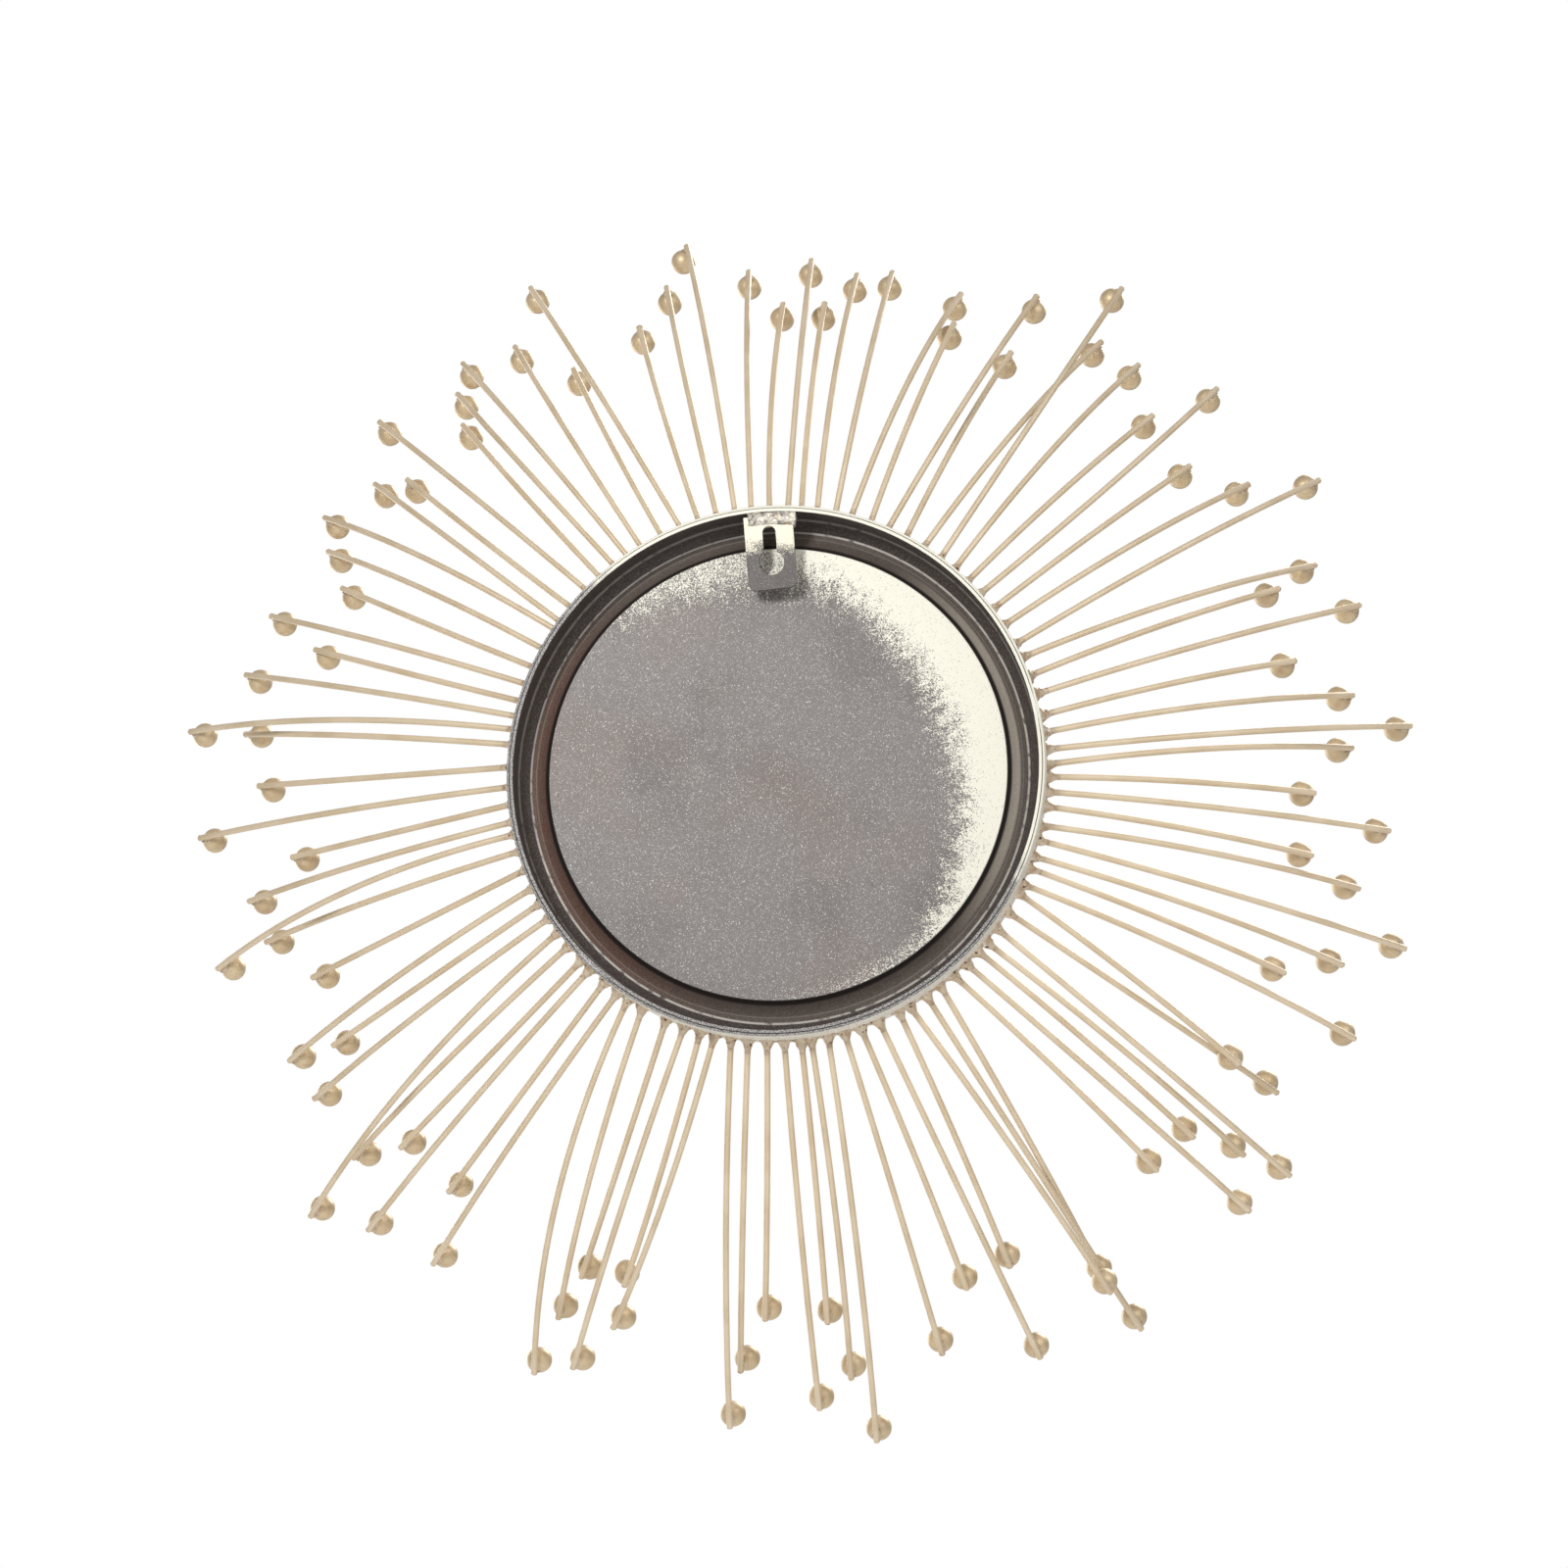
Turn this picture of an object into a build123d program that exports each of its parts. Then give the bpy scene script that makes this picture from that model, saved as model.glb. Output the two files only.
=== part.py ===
"""Sunburst wall mirror: a pressed round pan in a steel hoop, with 96 brazed rays that end in balls.

Frame, in millimetres: +Z is up, the wall is the plane Y = 0 and the mirror faces -Y. The origin is the
centre of the back edge of the pan, which rests on the wall. Depths are measured from the wall towards
the room, so a depth d is at Y = -d.
"""
import os
from math import cos, radians, sin, sqrt

from build123d import *

os.makedirs("parts", exist_ok=True)

# ---- driving dimensions ----------------------------------------------------------------------------
# pressed pan: radii and depths of the creases of its back surface
SHEET = 1.5                  # sheet thickness of the pan
WALL_RADIUS = 135.3          # inside of the cylindrical side wall
WALL_DEPTH = 12.8            # the side wall turns inwards here
CREST_RADIUS = 130.1         # deepest line of the moulding, its front crest
CREST_DEPTH = 20.8
FLANK_RADIUS = 120.9         # where the moulding meets the step down to the floor
FLANK_DEPTH = 15.6
FLOOR_RADIUS = 118.2         # edge of the flat floor that carries the glass
FLOOR_DEPTH = 12.8
SHOULDER_BULGE = (0.9, 0.6)  # how far the shoulder's arc stands outwards and forwards of its chord
MOULDING_BULGE = 1.4         # how far the moulding's arc stands forwards of its chord

# hoop: flat strip rolled around the pan, which carries the rays
HOOP_INNER = 137.15
HOOP_OUTER = 138.4
HOOP_WIDTH = 24.0
HOOP_EDGE = 0.3

# mirror glass and the pad that holds it
GLASS_RADIUS = 116.4
GLASS_THICKNESS = 4.0
GLASS_BEVEL_WIDTH = 12.0
GLASS_BEVEL_DROP = 1.4
PAD_RADIUS = 100.0
PAD_THICKNESS = 0.8

# keyhole hanger: strip brazed to the inside of the side wall at the top
TAB_WIDTH = 25.4
TAB_LENGTH = 39.4
TAB_THICKNESS = 1.6
TAB_TOP = 133.2              # height of its upper edge above the centre
TAB_SIDE = 5.0               # sideways place of its upper edge
TAB_BACK = 1.0               # depth of its back face, so that it clears the wall
TAB_TURN = 5.0               # degrees out of plumb
TAB_CORNER = 4.0
KEYHOLE_RADIUS = 6.7
KEYHOLE_DROP = 25.3          # round hole below the upper edge of the tab
SLOT_WIDTH = 6.9
SLOT_DROP = 9.0              # seat of the screw below the upper edge of the tab

# braze bead in the corner between the tab's upper edge and the side wall, as (radius, depth)
WELD_CLEARANCE = 0.03
WELD_OUTER = WALL_RADIUS - WELD_CLEARANCE
WELD_INNER = 127.6
WELD_BACK_OUTER = (WELD_OUTER, 0.6)
WELD_FRONT_OUTER = (WELD_OUTER, 8.0)
WELD_FRONT_MIDDLE = (131.2, 5.2)
WELD_FRONT_INNER = (WELD_INNER, 3.6)
WELD_BACK_INNER = (WELD_INNER, 0.9)
WELD_BACK_MIDDLE = (131.6, 0.2)
WELD_HALF_ANGLE = 5.4
WELD_TURN = 1.2              # degrees from the top towards +X to the middle of the bead

# rays: 16 bundles of six round rods, each bent to a gentle arc, with a ball brazed on its front side
BUNDLES = 16
PATTERN = "SLSMXM"           # short, long, short, medium, extra long, medium
RAY_PITCH = 360 / (BUNDLES * len(PATTERN))
ROD_RADIUS = 1.6
ROD_OVERHANG = 3.0           # rod that runs on past the middle of its ball
ROOT_DEPTH = 18.0
ROOT_GAP = 1.1               # rod end to hoop, filled by the braze
ROOT_RADIUS = HOOP_OUTER + ROOT_GAP
BALL_RADIUS = 6.7
BALL_GAP = 0.05
REACH = {"S": 272.0, "M": 298.5, "L": 317.0, "X": 327.5}    # radius where the ball sits on the rod
SLOPE = {"S": 0.47, "M": 0.50, "L": 0.45, "X": 0.45}        # forward rise per unit of radius
BOW = {"S": 4.0, "M": 11.0, "L": 8.0, "X": 12.0}            # middle of the rod, nearer the wall
SWAY = {"S": -1.0, "M": -1.0, "L": 0.0, "X": 0.5}           # middle of the rod, to one side
BALL_ROLL = 5.0              # degrees that a ball sits off the front of its rod
FIRST_RAY = -3.3             # degrees, clockwise from the right-hand side as seen from behind
ROOT_SWING, ROOT_SWING_AT = 2.7, 69.0    # the rays were set out round a point off the pan's centre
TIP_SWING, TIP_SWING_AT = 2.15, 77.0
TIP_DRIFT = -0.8

# the rays are set and brazed by hand: the ones that stray from the pattern, by ray number from 1 to 96;
# clockwise is as seen from behind
# root, in degrees clockwise
SLIP = {1: 2, 2: 1.5, 3: 1, 4: 1.5, 5: 1, 6: 1, 9: -1.5, 10: -0.5, 13: -1, 14: -1, 15: -1, 16: -1,
        17: -1, 18: -0.5, 19: -1.5, 20: -0.5, 25: -1.5, 26: -1.5, 27: -1.5, 28: -1, 29: -1, 30: -1,
        31: -1.5, 32: -1.5, 33: -1, 34: 1, 35: 1, 38: 0.5, 39: -0.5, 45: 0.5, 46: 1, 47: 1, 51: 0.5,
        52: 1.5, 53: 1, 55: -0.5, 56: -0.5, 57: -0.5, 59: 1, 60: -1, 61: -1, 65: -0.5, 66: -1,
        68: 0.5, 69: 0.5, 70: 0.5, 71: 0.5, 75: -1, 76: -1.5, 77: -1.5, 78: -2, 79: -1.5, 80: -1.5,
        81: -1, 82: -0.5, 87: 0.5, 88: 1, 89: 2, 90: 1.5, 91: 2, 92: 2.5, 93: 3.5, 94: 3.5, 95: 3.5,
        96: 3}
# ball, in degrees clockwise
LEAN = {1: 2, 2: 1.5, 3: 1.5, 5: 1, 6: 0.5, 8: -0.5, 9: 4, 11: 2.5, 13: -1.5, 14: -3.5, 15: -3.5,
        16: 4, 18: -3, 19: 1, 20: -1.5, 21: -1, 23: 4, 24: 2, 26: -2, 27: -0.5, 28: -1.5, 29: -4.5,
        30: 4.5, 31: 1, 33: -1.5, 34: -4, 35: -7.5, 36: 2.5, 37: 1.5, 38: 2, 39: 1.5, 40: 1, 41: -4,
        42: 1, 43: 0.5, 44: -2, 45: 1, 46: 3.5, 47: -1.5, 48: 0.5, 51: 1, 52: 3, 53: -1, 54: 1.5,
        55: 1.5, 57: 1.5, 58: 1, 60: 2, 61: 0.5, 62: -0.5, 63: 1.5, 64: -0.5, 65: -2, 66: -0.5,
        68: -4, 69: 1, 70: 1, 72: 2, 73: 2, 74: 1, 75: -1, 76: -2, 77: -2, 78: 1.5, 79: -1.5,
        80: 1.5, 81: -2, 82: 1.5, 83: -3.5, 84: -1.5, 86: -1.5, 87: -0.5, 88: 0.5, 90: 3.5, 91: 1,
        92: 1.5, 93: 2, 94: 2.5, 95: 2.5, 96: 0.5}
# reach, in extra mm
LONGER = {2: -6, 10: -5, 11: -4, 13: 2, 14: 2, 16: -1, 18: 8, 19: -2, 23: 8, 24: 4, 25: 2, 30: -8,
          31: -4, 34: -2, 36: 9, 39: 2, 41: 9, 43: 2, 44: -17, 45: -2, 46: -5, 47: -5, 49: -4, 50: 7,
          51: 17, 52: 5, 53: 9, 54: 14, 56: -11, 58: -4, 59: -22, 60: -4, 61: 5, 63: 5, 65: -18,
          66: 4, 67: -4, 68: 11, 69: 3, 71: -8, 74: -17, 76: -4, 77: -32, 78: -5, 80: -13, 81: -4,
          82: 2, 83: 5, 84: 2, 85: 8, 87: 2, 88: -4, 90: 4, 91: 6, 92: -2, 95: -2, 96: -5}
# middle of the rod to one side, in mm, in place of SWAY
SWAYED = {8: -2, 10: 1, 23: -3, 24: -3, 30: -5, 31: -2, 34: 1, 35: 8, 41: 4.5, 44: 1, 47: 6, 53: 3,
          58: 1, 59: 2, 68: 1, 70: 0, 71: 2.5, 72: 0, 73: -2, 78: -2, 83: 2.5, 86: 3.5, 87: 0, 88: 0}
# ball off the front of its rod, in degrees, in place of BALL_ROLL
ROLLED = {10: 15, 28: 15, 31: -18, 32: 12, 40: 15, 47: 16, 52: -10, 71: 30, 80: -10, 83: 20, 89: 15}
# tip forwards (+) or backwards (-) to pass a neighbour, in mm
BENT = {9: -11, 10: 16, 16: 9, 17: 17.5, 18: -20, 30: -5, 31: 3, 46: 5, 67: 4, 68: -3, 80: -3,
        81: 5, 82: 2, 83: -2, 91: 4}

# braze at both ends of a ray
FLARE_RADIUS = 4.1           # at the hoop, where the neighbours leave room for it
FLARE_START = 5.2            # solid braze behind the rod's end, before the hoop trims it
FLARE_LENGTH = 6.4           # braze along the rod
FLARE_CLEARANCE = 0.1
FLARE_FOOT = 0.6             # straight foot of the flare outside the hoop
FLARE_NECK = 0.35            # braze left on the rod where the flare ends
FLARE_SPREAD = (-1, 0.55)    # direction in which the flare leaves its foot
FLARE_TO_HOOP = 0.02
BORE_GAP = 0.06              # the flare's straight bore round the bent rod
BEAD_RADIUS = 0.55           # in the notch between a rod and its ball, clear of both by BEAD_GAP
BEAD_LENGTH = 5.0
BEAD_GAP = 0.02
ROD_TO_BEAD = ROD_RADIUS + BEAD_RADIUS + BEAD_GAP
BALL_TO_BEAD = BALL_RADIUS + BEAD_RADIUS + BEAD_GAP
ROD_TO_BALL = ROD_RADIUS + BALL_RADIUS + BALL_GAP
BEAD_FORWARD = (ROD_TO_BEAD**2 - BALL_TO_BEAD**2 + ROD_TO_BALL**2) / (2 * ROD_TO_BALL)
BEAD_ACROSS = sqrt(ROD_TO_BEAD**2 - BEAD_FORWARD**2)

FORWARD = Vector(0, -1, 0)


# ---- helpers ---------------------------------------------------------------------------------------
def behind(angle, radius, depth):
    """A point by its angle clockwise from the right as seen from behind, its radius and its depth."""
    return Vector(-radius * cos(radians(angle)), -depth, -radius * sin(radians(angle)))


def profile_point(radius_and_depth):
    """A point of a turned profile, drawn in the half plane X > 0 at Z = 0."""
    radius, depth = radius_and_depth
    return radius, -depth


def front_side(direction):
    """The unit vector across a direction that points most nearly towards the room."""
    return (FORWARD - direction * FORWARD.dot(direction)).normalized()


def ray_points(number):
    """Root, middle and seat of ball of a ray's centre line, for ray numbers from 1."""
    kind = PATTERN[(number - 1) % len(PATTERN)]
    nominal = FIRST_RAY + RAY_PITCH * (number - 1)
    root_angle = nominal + ROOT_SWING * sin(radians(ROOT_SWING_AT - nominal)) + SLIP.get(number, 0)
    tip_angle = nominal + TIP_DRIFT + TIP_SWING * sin(radians(TIP_SWING_AT - nominal)) + LEAN.get(number, 0)
    reach = REACH[kind] + LONGER.get(number, 0)
    depth = ROOT_DEPTH + SLOPE[kind] * (reach - HOOP_OUTER) + BENT.get(number, 0)
    root = behind(root_angle, ROOT_RADIUS, ROOT_DEPTH)
    seat = behind(tip_angle, reach, depth)
    chord = (seat - root).normalized()
    front = front_side(chord)
    sway = SWAYED.get(number, SWAY[kind])
    middle = (root + seat) / 2 - front * BOW[kind] - chord.cross(front) * sway
    return root, middle, seat


def ball_side(number, direction):
    """The unit vector from a rod's centre line to its ball."""
    return front_side(direction).rotate(Axis((0, 0, 0), direction), ROLLED.get(number, BALL_ROLL))


def section_plane(origin, direction):
    """The plane of a ray's half section: local x points across the ray, local y runs along it."""
    side = front_side(direction)
    return Plane(origin=origin, x_dir=side, z_dir=side.cross(direction))


# ---- pan -------------------------------------------------------------------------------------------
# the back surface is drawn in the half plane X > 0, at Z = 0, and turned round the Y axis
with BuildPart() as back_pan:
    with BuildSketch(Plane.XY):
        with BuildLine():
            Line((WALL_RADIUS, 0), (WALL_RADIUS, -WALL_DEPTH))
            ThreePointArc((WALL_RADIUS, -WALL_DEPTH),
                          ((WALL_RADIUS + CREST_RADIUS) / 2 + SHOULDER_BULGE[0],
                           -(WALL_DEPTH + CREST_DEPTH) / 2 - SHOULDER_BULGE[1]),
                          (CREST_RADIUS, -CREST_DEPTH))
            ThreePointArc((CREST_RADIUS, -CREST_DEPTH),
                          ((CREST_RADIUS + FLANK_RADIUS) / 2,
                           -(CREST_DEPTH + FLANK_DEPTH) / 2 - MOULDING_BULGE),
                          (FLANK_RADIUS, -FLANK_DEPTH))
            Line((FLANK_RADIUS, -FLANK_DEPTH), (FLOOR_RADIUS, -FLOOR_DEPTH))
            Line((FLOOR_RADIUS, -FLOOR_DEPTH), (0, -FLOOR_DEPTH))
            offset(amount=SHEET, side=Side.LEFT, kind=Kind.INTERSECTION, mode=Mode.ADD)
        make_face()
    revolve(axis=Axis.Y)
back_pan.part.label = "back_pan"
export_step(back_pan.part, "parts/back_pan.step")


# ---- hoop ------------------------------------------------------------------------------------------
with BuildPart() as ray_hoop:
    with BuildSketch(Plane.XZ):
        Circle(HOOP_OUTER)
        Circle(HOOP_INNER, mode=Mode.SUBTRACT)
    extrude(amount=HOOP_WIDTH)
    chamfer(ray_hoop.edges().filter_by(GeomType.CIRCLE), length=HOOP_EDGE)
ray_hoop.part.label = "ray_hoop"
export_step(ray_hoop.part, "parts/ray_hoop.step")


# ---- mirror glass and its pad ----------------------------------------------------------------------
PAD_BACK = FLOOR_DEPTH + SHEET
GLASS_BACK = PAD_BACK + PAD_THICKNESS
GLASS_FRONT = GLASS_BACK + GLASS_THICKNESS

with BuildPart() as glass_pad:
    with BuildSketch(Plane.XZ.offset(PAD_BACK)):
        Circle(PAD_RADIUS)
    extrude(amount=PAD_THICKNESS)
glass_pad.part.label = "glass_pad"
export_step(glass_pad.part, "parts/glass_pad.step")

with BuildPart() as mirror_glass:
    with BuildSketch(Plane.XY):
        with BuildLine():
            Polyline((0, -GLASS_BACK), (GLASS_RADIUS, -GLASS_BACK),
                     (GLASS_RADIUS, -(GLASS_FRONT - GLASS_BEVEL_DROP)),
                     (GLASS_RADIUS - GLASS_BEVEL_WIDTH, -GLASS_FRONT), (0, -GLASS_FRONT), close=True)
        make_face()
    revolve(axis=Axis.Y)
mirror_glass.part.label = "mirror_glass"
export_step(mirror_glass.part, "parts/mirror_glass.step")


# ---- hanger ----------------------------------------------------------------------------------------
# the tab is drawn in its own plane: its upper edge is centred on the local origin and it hangs along -y
tab_plane = Plane(origin=(TAB_SIDE, -TAB_BACK, TAB_TOP),
                  x_dir=Vector(1, 0, 0).rotate(Axis.Y, TAB_TURN), z_dir=(0, -1, 0))

with BuildPart() as hanger_tab:
    with BuildSketch(tab_plane) as tab_outline:
        with Locations((0, -TAB_LENGTH / 2)):
            Rectangle(TAB_WIDTH, TAB_LENGTH)
        fillet(tab_outline.vertices().group_by(Axis.Y)[0], radius=TAB_CORNER)
        with Locations((0, -KEYHOLE_DROP)):
            Circle(KEYHOLE_RADIUS, mode=Mode.SUBTRACT)
        with Locations((0, -(SLOT_DROP + KEYHOLE_DROP) / 2)):
            Rectangle(SLOT_WIDTH, KEYHOLE_DROP - SLOT_DROP, mode=Mode.SUBTRACT)
        with Locations((0, -SLOT_DROP)):
            Circle(SLOT_WIDTH / 2, mode=Mode.SUBTRACT)
    extrude(amount=TAB_THICKNESS)
hanger_tab.part.label = "hanger_tab"
export_step(hanger_tab.part, "parts/hanger_tab.step")

# the weld's profile is drawn at one end of the bead and turned round the Y axis to the other
with BuildPart() as hanger_weld:
    with BuildSketch(Plane.XY.rotated((0, -90 - WELD_HALF_ANGLE + WELD_TURN, 0))):
        with BuildLine():
            Line(profile_point(WELD_BACK_OUTER), profile_point(WELD_FRONT_OUTER))
            ThreePointArc(profile_point(WELD_FRONT_OUTER), profile_point(WELD_FRONT_MIDDLE),
                          profile_point(WELD_FRONT_INNER))
            Line(profile_point(WELD_FRONT_INNER), profile_point(WELD_BACK_INNER))
            ThreePointArc(profile_point(WELD_BACK_INNER), profile_point(WELD_BACK_MIDDLE),
                          profile_point(WELD_BACK_OUTER))
        make_face()
    revolve(axis=Axis.Y, revolution_arc=2 * WELD_HALF_ANGLE)
    add(hanger_tab.part, mode=Mode.SUBTRACT)
hanger_weld.part.label = "hanger_weld"
export_step(hanger_weld.part, "parts/hanger_weld.step")


# ---- rays, balls and braze, bundle by bundle -------------------------------------------------------
ray_count = BUNDLES * len(PATTERN)
roots = [ray_points(number)[0] for number in range(1, ray_count + 1)]


def flare_radius(number):
    """The radius of a ray's braze at the hoop, at most half the way to the nearer neighbour."""
    here = roots[number - 1]
    before = roots[number - 2]
    after = roots[number % ray_count]
    room = min((here - before).length, (here - after).length) / 2 - FLARE_CLEARANCE
    return min(FLARE_RADIUS, room)


for bundle in range(BUNDLES):
    numbers = range(bundle * len(PATTERN) + 1, (bundle + 1) * len(PATTERN) + 1)
    centre_lines = {number: ThreePointArc(*ray_points(number)) for number in numbers}

    with BuildPart() as rays:
        for arc in centre_lines.values():
            with BuildLine():
                add(arc)
                Line(arc @ 1, arc @ 1 + (arc % 1) * ROD_OVERHANG)
            with BuildSketch(Plane(origin=arc @ 0, z_dir=arc % 0)):
                Circle(ROD_RADIUS)
            sweep()
    rays.part.label = f"rays_{bundle + 1:02d}"
    export_step(rays.part, f"parts/{rays.part.label}.step")

    with BuildPart() as balls:
        for number, arc in centre_lines.items():
            with Locations(arc @ 1 + ball_side(number, arc % 1) * ROD_TO_BALL):
                Sphere(BALL_RADIUS)
    balls.part.label = f"ray_balls_{bundle + 1:02d}"
    export_step(balls.part, f"parts/{balls.part.label}.step")

    with BuildPart() as brazes:
        # a flare round each root: a hollow section turned round the ray, then trimmed by the hoop
        for number, arc in centre_lines.items():
            inner = arc @ 0 - (arc % 0) * FLARE_START
            radius = flare_radius(number)
            bore = ROD_RADIUS + BORE_GAP
            flare_end = FLARE_START + FLARE_LENGTH
            foot = (radius, FLARE_START - ROOT_GAP + FLARE_FOOT)
            neck = (bore + FLARE_NECK, flare_end)
            with BuildSketch(section_plane(inner, arc % 0)):
                with BuildLine():
                    Polyline(foot, (radius, 0), (0, 0), (0, FLARE_START), (bore, FLARE_START),
                             (bore, flare_end), neck)
                    TangentArc(foot, neck, tangent=FLARE_SPREAD)
                make_face()
            revolve(axis=Axis(inner, arc % 0))
        with BuildSketch(Plane.XZ.offset(-2 * FLARE_RADIUS)):
            Circle(HOOP_OUTER + FLARE_TO_HOOP)
        extrude(amount=HOOP_WIDTH + 4 * FLARE_RADIUS, mode=Mode.SUBTRACT)
        # a bead on each side of each rod, in the notch between it and its ball
        for number, arc in centre_lines.items():
            start = arc @ 1 - (arc % 1) * BEAD_LENGTH / 2
            with BuildSketch(Plane(origin=start, x_dir=ball_side(number, arc % 1), z_dir=arc % 1)):
                with Locations((BEAD_FORWARD, BEAD_ACROSS), (BEAD_FORWARD, -BEAD_ACROSS)):
                    Circle(BEAD_RADIUS)
            extrude(amount=BEAD_LENGTH)
    brazes.part.label = f"ray_brazes_{bundle + 1:02d}"
    export_step(brazes.part, f"parts/{brazes.part.label}.step")
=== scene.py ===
"""Looks of the sunburst wall mirror, seen from behind: worn paint, hand-made braze, light and camera.

Everything is in metres in the row frame: +Z is up, the wall is the plane Y = 0, the mirror faces -Y.
"Clockwise" angles start at the right-hand side of the mirror as seen from behind, which is -X.
"""
from math import asin, cos, pi, radians, sin

import bmesh
import bpy
from mathutils import Matrix, Quaternion, Vector, noise


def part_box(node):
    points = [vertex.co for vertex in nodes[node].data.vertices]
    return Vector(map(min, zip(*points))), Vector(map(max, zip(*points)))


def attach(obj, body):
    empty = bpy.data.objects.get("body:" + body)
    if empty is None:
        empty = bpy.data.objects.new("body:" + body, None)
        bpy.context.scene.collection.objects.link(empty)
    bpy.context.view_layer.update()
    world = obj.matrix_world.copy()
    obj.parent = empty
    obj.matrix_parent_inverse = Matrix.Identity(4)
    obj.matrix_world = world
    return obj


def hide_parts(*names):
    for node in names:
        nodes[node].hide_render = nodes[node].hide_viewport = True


MM = 0.001
BUNDLES = 16

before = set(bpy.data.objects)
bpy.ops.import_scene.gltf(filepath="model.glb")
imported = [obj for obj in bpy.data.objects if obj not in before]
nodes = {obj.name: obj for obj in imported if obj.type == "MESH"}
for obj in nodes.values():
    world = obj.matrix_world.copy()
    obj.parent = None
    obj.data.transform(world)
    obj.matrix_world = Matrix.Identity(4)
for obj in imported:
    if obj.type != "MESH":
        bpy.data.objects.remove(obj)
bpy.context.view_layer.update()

# sizes read off the frame
HOOP_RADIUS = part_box("ray_hoop")[1].x
PAN_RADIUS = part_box("back_pan")[1].x
TAB_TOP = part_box("hanger_tab")[1].z

# sizes that the CAD has too
SHEET = 1.5 * MM
WALL_RADIUS = PAN_RADIUS - SHEET
CREST_RADIUS = 130.1 * MM
FLOOR_RADIUS = 118.2 * MM
ROD_RADIUS = 1.6 * MM
ROD_OVERHANG = 3.0 * MM
BALL_RADIUS = 6.7 * MM

# where the painted shade and painted highlights lie on the pan's wall, from the mirror's axis
# painted shade: the steep outer wall turns darker across these radii
WALL_SHADE_RADII = (127 * MM, 130.6 * MM)
# painted highlight: a light band at this radius on the right of the wall
HIGHLIGHT_BAND_RADIUS = 122.6 * MM
# painted highlight: a faint light line along this crease
SECOND_CREASE = 126.2 * MM
# painted shade: the dark band in the groove by the floor lies within these radii
GROOVE_SHADE_EDGE = (121.4 * MM, 120.0 * MM)

# braze and weld
FLARE_LENGTH = 5.4          # in millimetres, like the numbers below
FLARE_START = 1.2           # how far behind the rod's end it begins
FLARE_WIDTH = 2.9           # beyond the rod, where it meets the hoop
FLARE_HEIGHT = 2.6
BRAZE_SKIN = 0.06           # over the rod where the braze ends
PUDDLE_HALF_LENGTH = 4
PUDDLE_HALF_WIDTH = 3
PUDDLE_RISE = 0.55          # above the ball beside the rod
PUDDLE_MOST = 1.2           # no more than this fills the gap between ball and rod
NIB_RADIUS = 1.62
WELD_VOXEL = 0.35
WALL_CLEARANCE = 0.1        # no lump of the weld comes closer to the wall


# ---- shader helpers --------------------------------------------------------------------------------
def srgb(red, green, blue):
    """A linear colour from 8-bit display values."""
    def linear(value):
        value = value / 255
        return value / 12.92 if value <= 0.04045 else ((value + 0.055) / 1.055) ** 2.4
    return linear(red), linear(green), linear(blue), 1.0


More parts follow.
